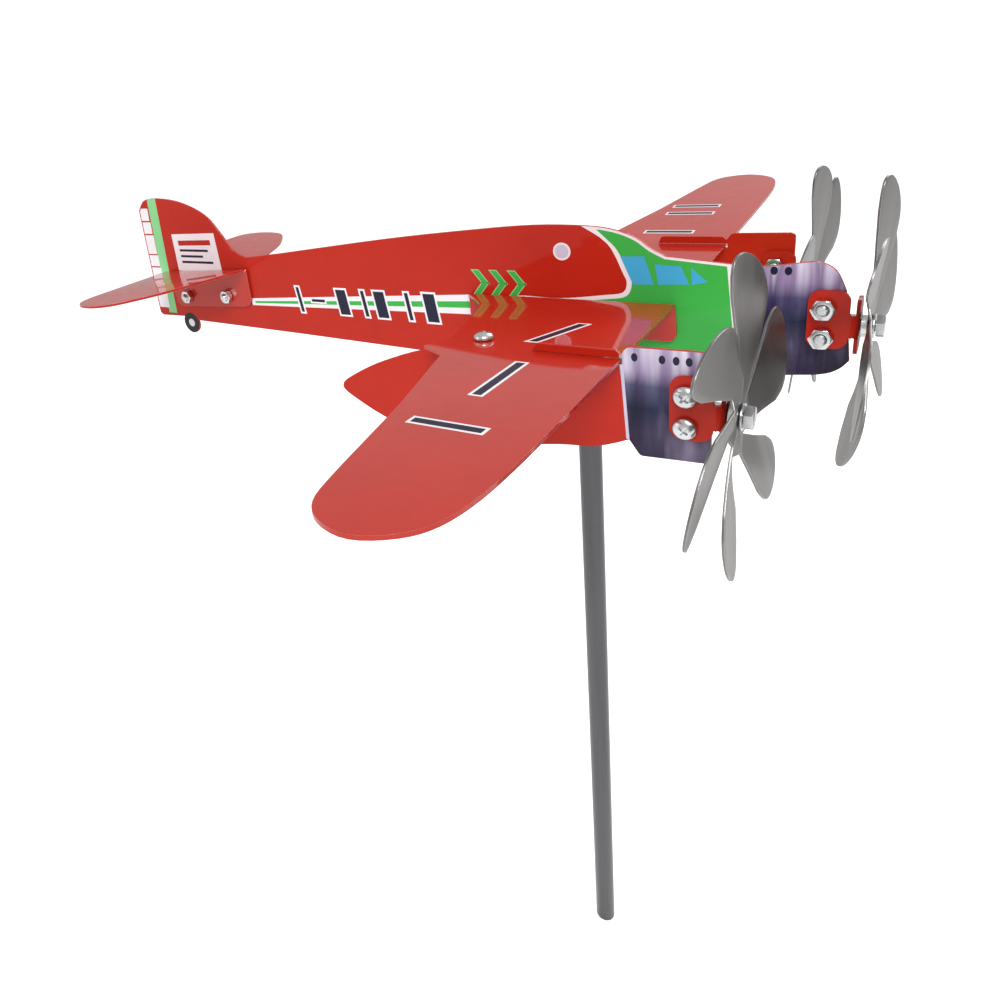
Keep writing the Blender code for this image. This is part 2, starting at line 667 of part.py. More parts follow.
short_screw = pan_screw(SHORT_SCREW)
long_screw = pan_screw(LONG_SCREW)
swivel_screw = pan_screw(SWIVEL_SCREW)
axle_bolt = hex_bolt(LONG_SCREW)
nut_mesh = nut()
washer_mesh = ring(WASHER)
spacer_mesh = ring(SPACER)
bracket_mesh = bracket()


def fasten(screw_name, nut_name, x, z, screw_mesh, head_face, nut_face, head_towards):
    """A screw across the airframe with its nut. The faces are where head and nut seat, in y."""
    place(screw_name, screw_mesh, paint["zinc"],
          across(x, head_face + head_towards * GAP, z, head_towards), airframe, smooth=True)
    place(nut_name, nut_mesh, paint["zinc"],
          across(x, nut_face - head_towards * GAP, z, -head_towards), airframe)


flange_face = PITCH + SHEET / 2
for which, (x, z) in zip(("front", "rear"), ROOT_BOLTS):
    fasten(f"root_bolt_{which}", f"root_nut_{which}", x, z, long_screw,
           -flange_face, flange_face, -1)
for which, (x, z) in zip(("front", "rear"), TAIL_BOLTS):
    fasten(f"tail_bolt_{which}", f"tail_nut_{which}", x, z, long_screw,
           flange_face, -flange_face, 1)
for which, (x, z) in zip(("upper", "lower"), SWIVEL_BOLTS):
    fasten(f"swivel_bolt_{which}", f"swivel_nut_{which}", x, z, swivel_screw,
           -SLEEVE_FLAT, SLEEVE_FLAT, -1)

for hand, side in (("right", -1), ("left", 1)):
    panel = place(f"wing_{hand}", wing(side), paint["red_paint"], parent=airframe)
    thicken(panel, SHEET)
    panel = place(f"stabilizer_{hand}", stabilizer(side), paint["red_paint"],
                  tail_frame(side), airframe)
    thicken(panel, SHEET)
    panel = place(f"nacelle_{hand}", nacelle(side), paint["printed_paint"],
                  upright(side * ENGINE_SPREAD), airframe)
    thicken(panel, SHEET)
    seat = Matrix.Translation((WING_SCREW[0], side * WING_SCREW[1],
                               WING_SCREW[1] * math.tan(DIHEDRAL[side])))
    seat = seat @ Matrix.Rotation(side * DIHEDRAL[side], 4, "X")
    place(f"wing_screw_{hand}", short_screw, paint["zinc"],
          seat @ Matrix.Translation((0, 0, SHEET / 2 + GAP)), airframe, smooth=True)
    below = Matrix.Translation((0, 0, -PITCH - SHEET / 2 - GAP - NUT_HEIGHT))
    place(f"wing_nut_{hand}", nut_mesh, paint["zinc"], seat @ below, airframe)

# Each propeller stands on a bracket on the right-hand face of its sheet.
for hand, sheet_y, (flange_x, plate_z), head_towards in (
        ("right", -ENGINE_SPREAD, SIDE_BRACKET, -1),
        ("centre", 0.0, CENTRE_BRACKET, 1),
        ("left", ENGINE_SPREAD, SIDE_BRACKET, 1)):
    plate_y = sheet_y - PITCH
    axle_y = plate_y + AXLE_OFFSET
    axle_z = plate_z - AXLE_DROP
    fold_frame = Matrix.Translation((flange_x, 0, plate_z)) @ upright(plate_y)
    thicken(place(f"prop_bracket_{hand}", bracket_mesh, paint["red_paint"], fold_frame, airframe),
            SHEET)
    outer_face = plate_y - SHEET / 2
    inner_face = sheet_y + SHEET / 2
    head_face, nut_face = (outer_face, inner_face) if head_towards < 0 else (inner_face, outer_face)
    for row, (dx, dz) in zip(("upper", "lower"), BRACKET_SCREWS):
        fasten(f"bracket_screw_{hand}_{row}", f"bracket_nut_{hand}_{row}", flange_x + dx,
               plate_z + dz, short_screw, head_face, nut_face, head_towards)
    place(f"axle_bolt_{hand}", axle_bolt, paint["zinc"],
          forwards(flange_x + AXLE_HEAD, axle_y, axle_z), airframe)
    place(f"axle_nut_{hand}", nut_mesh, paint["zinc"],
          forwards(flange_x - SHEET / 2 - GAP - NUT_HEIGHT, axle_y, axle_z), airframe)
    place(f"axle_washer_{hand}", washer_mesh, paint["zinc"],
          forwards(flange_x + WASHER[0], axle_y, axle_z), airframe)
    place(f"spacer_{hand}", spacer_mesh, paint["zinc"],
          forwards(flange_x + SPACER[0], axle_y, axle_z), airframe)
    spin = axis_empty(f"rotor_{hand}_axis", airframe, flange_x + ROTOR_SEAT + ROTOR_SHEET / 2,
                      axle_y, axle_z)
    turn = Matrix.Rotation(SQUARE, 4, "Y") @ Matrix.Rotation(ROTOR_REST[hand], 4, "Z")
    blades = place(f"rotor_{hand}", rotor(BLADE_BENDS[hand]), paint["rotor_steel"], turn, spin,
                   smooth=True)
    thicken(blades, ROTOR_SHEET)
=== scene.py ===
import json
import math

import bmesh
import bpy
from mathutils import Matrix, Vector


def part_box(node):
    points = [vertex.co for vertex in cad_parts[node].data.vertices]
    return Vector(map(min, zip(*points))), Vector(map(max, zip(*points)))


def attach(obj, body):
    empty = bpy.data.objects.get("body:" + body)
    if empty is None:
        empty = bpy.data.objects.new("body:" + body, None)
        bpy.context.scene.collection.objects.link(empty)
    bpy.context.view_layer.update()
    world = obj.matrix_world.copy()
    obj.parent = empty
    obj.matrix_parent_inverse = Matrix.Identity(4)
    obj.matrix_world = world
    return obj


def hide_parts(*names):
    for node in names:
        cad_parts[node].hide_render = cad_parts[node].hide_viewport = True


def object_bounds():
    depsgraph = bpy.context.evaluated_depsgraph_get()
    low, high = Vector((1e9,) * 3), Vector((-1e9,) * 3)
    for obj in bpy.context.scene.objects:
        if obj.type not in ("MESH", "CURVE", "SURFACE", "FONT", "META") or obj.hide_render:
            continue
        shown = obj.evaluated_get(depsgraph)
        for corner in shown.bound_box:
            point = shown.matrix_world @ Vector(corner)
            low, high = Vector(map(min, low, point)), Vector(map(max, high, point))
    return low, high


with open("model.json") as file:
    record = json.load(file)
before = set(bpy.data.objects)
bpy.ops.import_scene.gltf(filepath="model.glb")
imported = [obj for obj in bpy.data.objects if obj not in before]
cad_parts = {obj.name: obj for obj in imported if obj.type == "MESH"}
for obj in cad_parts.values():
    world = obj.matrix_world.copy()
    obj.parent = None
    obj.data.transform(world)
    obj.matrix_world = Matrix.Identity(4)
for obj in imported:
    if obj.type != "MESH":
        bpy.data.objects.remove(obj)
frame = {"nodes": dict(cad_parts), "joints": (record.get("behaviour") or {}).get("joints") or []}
CAD_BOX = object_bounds()

MM = 0.001
PIVOT_TO_ROOT = 40  # millimetres from the swivel joint up to the wing roots
SAME_PLACE = 1e-6  # metres within which two corners are one
SAME_WAY = 0.9999  # cosine above which two faces point the same way
NODES = frame["nodes"]
JOINTS = {joint["name"]: joint for joint in frame["joints"]}
ROOT_Z = JOINTS["airframe_swivel"]["pos_m"][2] + PIVOT_TO_ROOT * MM
HANDS = ("right", "centre", "left")

# ---- materials ----

MOTTLE = 0.05  # how much lighter and darker the clouds in an enamel are
UNDER_GLOSS = 0.08  # specular level of a colour under its clear gloss
PEEL_DEPTH = 0.06 * MM
GRAIN_DEPTH = 0.03 * MM
MIX_FIRST, MIX_SECOND, MIX_RESULT = 6, 7, 2  # the colour sockets of a Mix node


class Shader:
    """A material with a Principled surface and short ways to add nodes to it."""

    def __init__(self, name):
        self.material = bpy.data.materials.new(name)
        self.material.use_nodes = True
        self.tree = self.material.node_tree
        self.surface = self.tree.nodes["Principled BSDF"]
        self.coords = self.tree.nodes.new("ShaderNodeTexCoord").outputs["Object"]

    def link(self, output, target):
        self.tree.links.new(output, target)

    def put(self, name, value):
        self.surface.inputs[name].default_value = value

    def scaled(self, factors):
        mapping = self.tree.nodes.new("ShaderNodeMapping")
        mapping.inputs["Scale"].default_value = factors
        self.link(self.coords, mapping.inputs["Vector"])
        return mapping.outputs["Vector"]

    def noise(self, scale, detail=3.0, vector=None):
        node = self.tree.nodes.new("ShaderNodeTexNoise")
        node.inputs["Scale"].default_value = scale
        node.inputs["Detail"].default_value = detail
        self.link(vector or self.coords, node.inputs["Vector"])
        return node.outputs["Fac"]

    def ramp(self, value, stops):
        node = self.tree.nodes.new("ShaderNodeValToRGB")
        band = node.color_ramp
        while len(band.elements) < len(stops):
            band.elements.new(0.5)
        for element, (place, colour) in zip(band.elements, stops):
            element.position = place
            element.color = (*colour, 1)
        self.link(value, node.inputs["Fac"])
        return node.outputs["Color"]

    def spread(self, value, low, high, start=0.3, end=0.7):
        node = self.tree.nodes.new("ShaderNodeMapRange")
        node.inputs["From Min"].default_value = start
        node.inputs["From Max"].default_value = end
        node.inputs["To Min"].default_value = low
        node.inputs["To Max"].default_value = high
        self.link(value, node.inputs["Value"])
        return node.outputs["Result"]

    def mix(self, factor, first, second, blend):
        node = self.tree.nodes.new("ShaderNodeMix")
        node.data_type = "RGBA"
        node.blend_type = blend
        node.inputs["Factor"].default_value = factor
        self.link(first, node.inputs[MIX_FIRST])
        self.link(second, node.inputs[MIX_SECOND])
        return node.outputs[MIX_RESULT]

    def bump(self, value, strength, depth):
        node = self.tree.nodes.new("ShaderNodeBump")
        node.inputs["Strength"].default_value = strength
        node.inputs["Distance"].default_value = depth
        self.link(value, node.inputs["Height"])
        self.link(node.outputs["Normal"], self.surface.inputs["Normal"])

    def height(self):
        node = self.tree.nodes.new("ShaderNodeSeparateXYZ")
        self.link(self.coords, node.inputs["Vector"])
        return node.outputs["Z"]


def shade(colour, factor):
    return tuple(min(channel * factor, 1.0) for channel in colour)


def lacquer(shader, coat, roughness, peel):
    """A clear gloss over the colour, with an orange-peel surface."""
    shader.put("Specular IOR Level", UNDER_GLOSS)
    shader.put("Coat Weight", coat)
    shader.put("Coat Roughness", roughness)
    shader.bump(shader.noise(900, 2), peel, PEEL_DEPTH)


def enamel(name, colour, roughness=0.42, coat=0.3):
    """Glossy stove enamel on sheet, with faint clouds in the colour."""
    shader = Shader(name)
    clouds = shader.noise(38, 4)
    shader.link(shader.ramp(clouds, ((0.3, shade(colour, 1 - MOTTLE)),
                                     (0.7, shade(colour, 1 + MOTTLE)))),
                shader.surface.inputs["Base Color"])
    shader.link(shader.spread(shader.noise(210), roughness - 0.05, roughness + 0.06),
                shader.surface.inputs["Roughness"])
    lacquer(shader, coat, 0.05, 0.06)
    return shader.material


def engine_print(name, low, high):
    """The printed engine cowl: pale lilac along its top, navy below, with dark upright bands."""
    shader = Shader(name)
    level = shader.spread(shader.height(), 0, 1, ROOT_Z + low * MM, ROOT_Z + high * MM)
    tones = shader.ramp(level, ((0.0, (0.030, 0.022, 0.055)), (0.22, (0.055, 0.046, 0.095)),
                                (0.45, (0.014, 0.018, 0.058)), (0.66, (0.10, 0.10, 0.19)),
                                (0.80, (0.50, 0.45, 0.58)), (1.0, (0.72, 0.67, 0.78))))
    bands = shader.noise(1.0, 2.5, shader.scaled((170, 0, 16)))
    dark = shader.ramp(bands, ((0.40, (1, 1, 1)), (0.50, (0.42, 0.28, 0.48)),
                               (0.56, (0.20, 0.13, 0.26)), (0.66, (1, 1, 1))))
    banded = shader.mix(0.8, tones, dark, "MULTIPLY")
    streaks = shader.noise(1.0, 2.0, shader.scaled((120, 0, 30)))
    lit = shader.ramp(streaks, ((0.55, (0, 0, 0)), (0.75, (0.20, 0.17, 0.24))))
    shader.link(shader.mix(1.0, banded, lit, "ADD"), shader.surface.inputs["Base Color"])
    shader.link(shader.spread(shader.noise(180), 0.22, 0.34), shader.surface.inputs["Roughness"])
    lacquer(shader, 0.3, 0.06, 0.05)
    return shader.material


def metal(name, colour, low, high, grain=(60, 60, 900), strength=0.08, contrast=0.10):
    """Bare metal whose roughness follows a drawn-out grain."""
    shader = Shader(name)
    lines = shader.noise(1.0, 4.0, shader.scaled(grain))
    shader.link(shader.ramp(lines, ((0.3, shade(colour, 1 - contrast)),
                                    (0.7, shade(colour, 1 + contrast)))),
                shader.surface.inputs["Base Color"])
    shader.put("Metallic", 1.0)
    shader.link(shader.spread(lines, low, high), shader.surface.inputs["Roughness"])
    shader.bump(lines, strength, GRAIN_DEPTH)
    return shader.material


def pole_paint():
    """Grey paint with faint lines along the pole."""
    shader = Shader("grey_pole_paint")
    lines = shader.noise(1.0, 3.0, shader.scaled((300, 300, 12)))
    shader.link(shader.ramp(lines, ((0.3, (0.085, 0.085, 0.091)),
                                    (0.7, (0.108, 0.108, 0.114)))),
                shader.surface.inputs["Base Color"])
    shader.put("Metallic", 0.65)
    shader.link(shader.spread(lines, 0.26, 0.36), shader.surface.inputs["Roughness"])
    shader.put("Coat Weight", 0.2)
    return shader.material


RED = (0.46, 0.017, 0.006)
PAINTS = {
    "red": enamel("red_enamel", RED),
    "glossy_red": enamel("glossy_red_enamel", RED, 0.38, 0.85),
    "green": enamel("green_print", (0.045, 0.42, 0.065)),
    "pale_green": enamel("pale_green_print", (0.24, 0.62, 0.27)),
    "white": enamel("white_print", (0.82, 0.79, 0.82)),
    "lilac": enamel("lilac_print", (0.58, 0.54, 0.68)),
    "blue": enamel("window_print", (0.055, 0.40, 0.66)),
    "navy": enamel("navy_print", (0.014, 0.014, 0.035)),
    "black": enamel("wheel_print", (0.022, 0.022, 0.025)),
    # light metal for the broken edges of the sheets: a painted highlight along their cut edges
    "edge": metal("cut_edge", (0.80, 0.66, 0.62), 0.30, 0.45),
    "side_engine": engine_print("side_engine_print", -22, 8),
    "nose_engine": engine_print("nose_engine_print", -18, 15),
    "rotor": metal("rolled_steel", (0.235, 0.227, 0.222), 0.34, 0.42, (25, 260, 25), 0.015, 0.03),
    "rotor_edge": metal("sheared_steel", (0.55, 0.55, 0.56), 0.22, 0.35),
    "zinc": metal("zinc_plate", (0.70, 0.71, 0.72), 0.16, 0.30, (300, 300, 300)),
    "swivel": metal("turned_steel", (0.45, 0.45, 0.46), 0.24, 0.38, (30, 30, 1500)),
    "pole": pole_paint(),
}

# ---- pieces ----


def show(name, mesh, paints, body, replaced=(), smooth=None):
    """Adds a piece that rides a CAD body. The CAD nodes that it replaces are no longer shown."""
    for key in paints:
        mesh.materials.append(PAINTS[key])
    if smooth is not None:
        mesh.shade_smooth()
        mesh.set_sharp_from_angle(angle=math.radians(smooth))
    piece = bpy.data.objects.new(name, mesh)
    bpy.context.scene.collection.objects.link(piece)
    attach(piece, body)
    if replaced:
        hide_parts(*replaced)
    return piece


def to_mesh(edit, name):
    bmesh.ops.recalc_face_normals(edit, faces=edit.faces)
    mesh = bpy.data.meshes.new(name)
    edit.to_mesh(mesh)
    edit.free()
    return mesh


def forget_normals(mesh):
    """Takes off the normals that a mesh was stored with."""
    if "custom_normal" in mesh.attributes:
        mesh.attributes.remove(mesh.attributes["custom_normal"])


def close_rings(edit, first, second):
    """Caps two rings of corners and joins them with a band of faces."""
    edit.faces.new(first)
    edit.faces.new(second)
    for index in range(len(first)):
        following = (index + 1) % len(first)
        edit.faces.new((first[index], first[following], second[following], second[index]))


def break_edges(item, width, angle, slot, harden=False):
    """Rounds the edges that are sharper than an angle, in the material of one slot."""
    broken = item.modifiers.new("edges", "BEVEL")
    broken.width = width * MM
    broken.segments = 2
    broken.limit_method = "ANGLE"
    broken.angle_limit = math.radians(angle)
    broken.material = slot
    broken.harden_normals = harden


def combine(first, second, operation, tangled=False):
    """The exact Boolean of two closed meshes, as a new mesh. Tangled ones may cross themselves."""
    holders = []
    for mesh in (first, second):
        holder = bpy.data.objects.new("solid", mesh)
        bpy.context.scene.collection.objects.link(holder)
        holders.append(holder)
    cut = holders[0].modifiers.new("cut", "BOOLEAN")
    cut.operation = operation
    cut.solver = "EXACT"
    cut.object = holders[1]
    cut.use_self = tangled
    depsgraph = bpy.context.evaluated_depsgraph_get()
    made = bpy.data.meshes.new_from_object(holders[0].evaluated_get(depsgraph))
    for holder in holders:
        bpy.data.objects.remove(holder)
    made.materials.clear()
    forget_normals(made)
    made.shade_flat()
    return made


def prism(outline, low, high):
    """A closed block over an outline of (x, z) points, from low to high along Y."""
    edit = bmesh.new()
    near, far = ([edit.verts.new((x * MM, depth * MM, z * MM + ROOT_Z)) for x, z in outline]
                 for depth in (low, high))
    close_rings(edit, near, far)
    return to_mesh(edit, "prism")


COAT = 0.025  # thickness of the lowest printed coat, in millimetres
COAT_STEP = 0.02  # how much each coat stands above the one below
CUT_INSET = 0.05  # how far a coat stays back from the cut edge
SLIVER = 0.02  # corners closer than this are merged after a Boolean
THROUGH = (-400, 400)  # a reach that takes in both faces of a sheet
LEVEL_ENOUGH = 0.001  # angle within which two faces of the CAD are one plane
FACE_SHARE = 0.7  # a printed face points at least this much along Y
LEAST_REACH = 0.3  # keeps the inset of a pointed corner within bounds
SKINS = {}


def skin(node, lift, inset):
    """A CAD sheet grown by lift on its faces, and drawn in from its cut edges by inset."""
    key = (node, lift, inset)
    if key not in SKINS:
        edit = bmesh.new()
        edit.from_mesh(NODES[node].data)
        bmesh.ops.remove_doubles(edit, verts=edit.verts, dist=SAME_PLACE)
        bmesh.ops.dissolve_limit(edit, angle_limit=LEVEL_ENOUGH, verts=edit.verts,
                                 edges=edit.edges)
        edit.normal_update()
        moves = {}
        for vertex in edit.verts:
            sides = []
            move = Vector()
            for face in vertex.link_faces:
                if abs(face.normal.y) > FACE_SHARE:
                    move = face.normal * lift
                elif all(face.normal.dot(side) < SAME_WAY for side in sides):
                    sides.append(face.normal.copy())
            if sides:
                outward = sum(sides, Vector()).normalized()
                reach = max(outward.dot(sides[0]), LEAST_REACH)
                move = move - outward * (inset / reach)
            moves[vertex] = move
        for vertex, move in moves.items():
            vertex.co += move * MM
        bmesh.ops.triangulate(edit, faces=edit.faces, ngon_method="EAR_CLIP")
        SKINS[key] = to_mesh(edit, "skin")
    return SKINS[key].copy()


def layer(name, node, outline, level, key, inset=CUT_INSET, reach=THROUGH):
    """One printed shape, as a thin coat on both faces of a sheet or on those within reach."""
    coat = skin(node, COAT + COAT_STEP * level, inset)
    block = prism(outline, *reach)
    mesh = combine(coat, block, "INTERSECT")
    if not mesh.polygons:
        mesh = combine(coat, block, "INTERSECT", tangled=True)
    edit = bmesh.new()
    edit.from_mesh(mesh)
    bmesh.ops.remove_doubles(edit, verts=edit.verts, dist=SLIVER * MM)
    show(name, to_mesh(edit, name), (key,), "airframe")


def ellipse(x, z, half_length, half_height, steps=20):
    angles = [math.tau * step / steps for step in range(steps)]
    return [(x + half_length * math.cos(angle), z + half_height * math.sin(angle))
            for angle in angles]


def disc(x, z, radius):
    return ellipse(x, z, radius, radius, 40)


def smooth_line(points, steps=5):
    """A Catmull-Rom line through the points."""
    padded = [points[0]] + list(points) + [points[-1]]
    line = []
    for a, b, c, d in zip(padded, padded[1:], padded[2:], padded[3:]):
        for step in range(steps):
            t = step / steps
            line.append(tuple(0.5 * (2 * q + (r - p) * t + (2 * p - 5 * q + 4 * r - s) * t * t
                                     + (3 * q - p - 3 * r + s) * t ** 3)
                              for p, q, r, s in zip(a, b, c, d)))
    line.append(tuple(points[-1]))
    return line


# ---- painted sheets carried over from the CAD ----

EDGE_ANGLE = 35  # degrees above which an edge of the CAD is a sharp one
FLAT_ANGLE = 0.3  # degrees below which its facets are joined


def dress(node, keys, bevel=0.16):
    """Paints a CAD node and breaks its sharp edges in the material of its last slot; on the sheets
    that is a light metal, a painted highlight along their cut edges.
    """
    item = NODES[node]
    mesh = item.data
    mesh.materials.clear()
    for key in keys:
        mesh.materials.append(PAINTS[key])
    for polygon in mesh.polygons:
        polygon.material_index = 0
    forget_normals(mesh)
    mesh.shade_smooth()
    mesh.set_sharp_from_angle(angle=math.radians(EDGE_ANGLE))
    weld = item.modifiers.new("weld", "WELD")
    weld.merge_threshold = SAME_PLACE
    flat = item.modifiers.new("flat", "DECIMATE")
    flat.decimate_type = "DISSOLVE"
    flat.angle_limit = math.radians(FLAT_ANGLE)
    break_edges(item, bevel, EDGE_ANGLE, len(keys) - 1, harden=True)


# the broken edges of these sheets take the light edge metal, a painted highlight
for node in ("fuselage_panel", "nacelle_right", "nacelle_left"):
    dress(node, ("red", "edge"))
for node in ("wing_right", "wing_left", "stabilizer_right", "stabilizer_left"):
    dress(node, ("glossy_red", "edge"))
for hand in HANDS:
    dress(f"prop_bracket_{hand}", ("red",), 0.3)
dress("pivot_pin", ("swivel",), 0.15)
dress("swivel_sleeve", ("swivel",), 0.15)

# ---- livery of the fuselage, as (x, z) points from the pole's axis and the wing roots ----

FUSELAGE = "fuselage_panel"
nose_curve = smooth_line([(0.2, 24.3), (5.2, 21.2), (9.0, 17.3), (12.4, 9.9), (13.7, 6.4),
                          (12.3, 3.1), (5.9, 1.9), (-8.9, 0.1), (-23.5, 0.3), (-36.0, -1.6)])
nose_rear = [(-43.0, -6.0), (-36.0, -12.5), (-12.0, -19.0), (8.0, -24.0), (14.0, -40.0)]
cowl_edge = [(49.6, -40.0), (46.5, -7.2), (44.4, 12.0), (42.0, 34.0)]
layer("nose_white_border", FUSELAGE,
      nose_curve + nose_rear + cowl_edge + [(-2.5, 34.0), (-2.5, 26.0)], 0, "white")
inner_curve = smooth_line([(3.6, 24.3), (7.3, 20.8), (10.8, 17.0), (14.1, 10.3), (15.3, 6.2),
                           (13.4, 1.9), (6.1, 0.5), (-8.9, -1.2), (-23.5, -1.0), (-35.0, -2.8)])
inner_rear = [(-41.0, -6.0), (-35.5, -11.4), (-11.0, -17.8), (9.0, -22.6), (15.6, -40.0)]
inner_front = [(48.0, -40.0), (45.1, -7.2), (43.0, 12.0), (40.8, 34.0), (-2.5, 34.0)]
BORDER = 0.8  # width of the rim round the green nose and round a mark on a wing
layer("nose_green", FUSELAGE, inner_curve + inner_rear + inner_front, 1, "green", inset=BORDER)
layer("nose_engine_cowl", FUSELAGE, cowl_edge + [(120.0, 34.0), (120.0, -40.0)], 0,
      "nose_engine")
WINDOWS = (((11.8, 15.0), (19.1, 15.2), (22.1, 6.2), (15.7, 5.9)),
           ((22.4, 12.7), (30.1, 12.2), (32.5, 6.6), (23.4, 6.2)),
           ((33.0, 11.9), (37.7, 7.5), (33.3, 6.6)))
for number, window in enumerate(WINDOWS):
    layer(f"cabin_window_{number + 1}", FUSELAGE, window, 2, "blue")
for number, x in enumerate((55.3, 58.9)):
    layer(f"nose_vent_{number + 1}", FUSELAGE, ellipse(x, 11.7, 0.95, 1.25), 1, "navy")
layer("roundel_rim", FUSELAGE, disc(-7.4, 16.3, 3.0), 0, "white")
layer("roundel", FUSELAGE, disc(-7.4, 16.3, 2.3), 1, "lilac")
layer("stripe_white", FUSELAGE, [(-154.0, -7.6), (-39.5, -0.1), (-39.5, -7.8), (-154.0, -10.8)],
      0, "white")
layer("stripe_green", FUSELAGE, [(-152.0, -8.8), (-39.5, -2.7), (-39.5, -5.3), (-152.0, -9.7)],
      1, "green")


def grown(outline, amount):
    """A convex outline with every side moved outwards."""
    count = len(outline)
    turning = sum(a[0] * b[1] - a[1] * b[0] for a, b in zip(outline, outline[1:] + outline[:1]))
    sign = 1 if turning > 0 else -1
    result = []
    for index in range(count):
        before, here, after = (Vector(outline[(index + step) % count]) for step in (-1, 0, 1))
        first = (here - before).normalized()
        second = (after - here).normalized()
        normal_a = Vector((first.y, -first.x)) * sign
        normal_b = Vector((second.y, -second.x)) * sign
        corner = (normal_a + normal_b) / (1 + normal_a.dot(normal_b))
        result.append(tuple(here + corner * amount))
    return result


def outlined(name, outline, border):
    """A navy mark on the fuselage, with a white border round it."""
    layer(f"{name}_rim", FUSELAGE, grown(outline, border), 2, "white")
    layer(name, FUSELAGE, outline, 3, "navy")


def bar(x, z, width, height, lean):
    """An upright bar about (x, z) whose top leans forwards by lean."""
    half, rise = width / 2, height / 2
    return [(x - half - lean, z - rise), (x + half - lean, z - rise), (x + half + lean, z + rise),
            (x - half + lean, z + rise)]


def chevron(x, z, depth, height, width):
    """A forward arrow, as its upper and its lower stroke."""
    rise = height / 2
    return [[(x, z + side * rise), (x + width, z + side * rise), (x + depth + width, z),
             (x + depth, z)] for side in (1, -1)]


MARK_Z = -6.6
SIDE_MARKS = {  # place along x, width, height, lean and width of the border
    "side_bar_1": (-125.0, 1.6, 11.0, -0.8, 0.8),
    "side_dash": (-115.0, 7.0, 1.2, 0.0, 0.7),
    "side_bar_2": (-102.0, 5.0, 10.6, -0.8, 0.8),
    "side_bar_3": (-91.0, 1.6, 10.8, -0.8, 0.8),
    "side_bar_4": (-83.0, 5.0, 10.8, -0.8, 0.8),
    "side_bar_5": (-70.0, 1.6, 11.0, -0.8, 0.8),
    "side_bar_6": (-60.0, 5.0, 11.2, -0.8, 0.8),
}
for name, (x, width, height, lean, border) in SIDE_MARKS.items():
    outlined(name, bar(x, MARK_Z, width, height, lean), border)
for number, x in enumerate((-41.0, -34.0, -27.0)):
    for side, stroke in zip(("upper", "lower"), chevron(x, 4.4, 3.6, 9.0, 2.2)):
        layer(f"crest_{number + 1}_{side}_rim", FUSELAGE, grown(stroke, 0.35), 0, "pale_green")
        layer(f"crest_{number + 1}_{side}", FUSELAGE, stroke, 1, "green")

# ---- tail ----

RUDDER_BORDER = 0.7
layer("rudder_band", FUSELAGE, [(-210.2, 42.0), (-204.2, 42.0), (-207.3, -18.0), (-213.0, -18.0)],
      0, "pale_green")
for number, (low, high) in enumerate(((28.1, 34.0), (21.8, 27.4), (11.8, 21.1), (5.7, 11.2),
                                      (-6.4, 5.0), (-15.5, -7.2))):
    layer(f"rudder_block_{number + 1}", FUSELAGE,
          [(-232.0, low), (-211.9, low), (-211.5, high), (-232.0, high)], 1, "white",
          inset=RUDDER_BORDER)
layer("fin_placard", FUSELAGE, [(-198.5, 21.6), (-170.1, 22.2), (-169.3, 2.1), (-198.7, 4.1)],
      0, "white")
layer("fin_placard_bar_1", FUSELAGE,
      [(-195.0, 18.6), (-173.5, 19.0), (-173.4, 16.6), (-195.0, 16.2)], 1, "red")
for number, (z, start, end) in enumerate(((13.4, -195.0, -176.0), (10.6, -195.0, -180.0),
                                          (7.8, -195.0, -174.0))):
    layer(f"fin_placard_bar_{number + 2}", FUSELAGE,
          [(start, z), (end, z), (end, z + 1.1), (start, z + 1.1)], 1, "navy")
TAIL_WHEEL = (-198.0, -22.4)
layer("tail_wheel_tyre", FUSELAGE, disc(*TAIL_WHEEL, 5.1), 0, "black")
layer("tail_wheel_hub", FUSELAGE, disc(*TAIL_WHEEL, 2.0), 1, "white")

# ---- engine prints, on the outer face of each engine sheet only ----

BELOW_FACE, ABOVE_FACE = 0.3, 2  # millimetres about the outer face that a print may take up
for hand, side in (("right", -1), ("left", 1)):
    node = f"nacelle_{hand}"
    face = max(vertex.co.y * side for vertex in NODES[node].data.vertices) / MM
    reach = sorted((side * (face - BELOW_FACE), side * (face + ABOVE_FACE)))
    cowl = [(30.3, 14.0), (30.3, 3.0), (31.3, -5.6), (31.9, -17.9), (31.4, -30.0),
            (70.0, -30.0), (70.0, 14.0)]
    layer(f"engine_cowl_{hand}", node, cowl, 0, "side_engine", reach=reach)
    for number, x in enumerate((34.1, 40.8, 44.1, 47.1)):
        layer(f"engine_vent_{hand}_{number + 1}", node, ellipse(x, 5.4, 0.8, 1.15), 1, "navy",
              reach=reach)
    layer(f"engine_lip_{hand}", node, [(30.5, 3.2), (31.3, 3.2), (32.7, -17.9), (31.9, -17.9)],
          1, "lilac", reach=reach)

# ---- marks on the wings, as (x, y) points, on the upper face only ----

ABOVE_WINGS = 50  # millimetres above the roots from which a wing's upper face is looked for
WING_COAT = 0.03
SUNK = 0.25  # how deep a wing's coat reaches into the sheet


def on_top(name, node, outline, level, key):
    """A thin coat on the upper face of a tilted sheet."""
    item = NODES[node]
    edit = bmesh.new()
    low_ring = []
    high_ring = []
    for x, y in outline:
        hit, place, _, _ = item.ray_cast(Vector((x * MM, y * MM, ROOT_Z + ABOVE_WINGS * MM)),
                                         Vector((0, 0, -1)))
        top = place.z if hit else ROOT_Z
        low_ring.append(edit.verts.new((x * MM, y * MM, top - SUNK * MM)))
        lift = WING_COAT + COAT_STEP * level
        high_ring.append(edit.verts.new((x * MM, y * MM, top + lift * MM)))
    close_rings(edit, low_ring, high_ring)
    show(name, to_mesh(edit, name), (key,), "airframe")


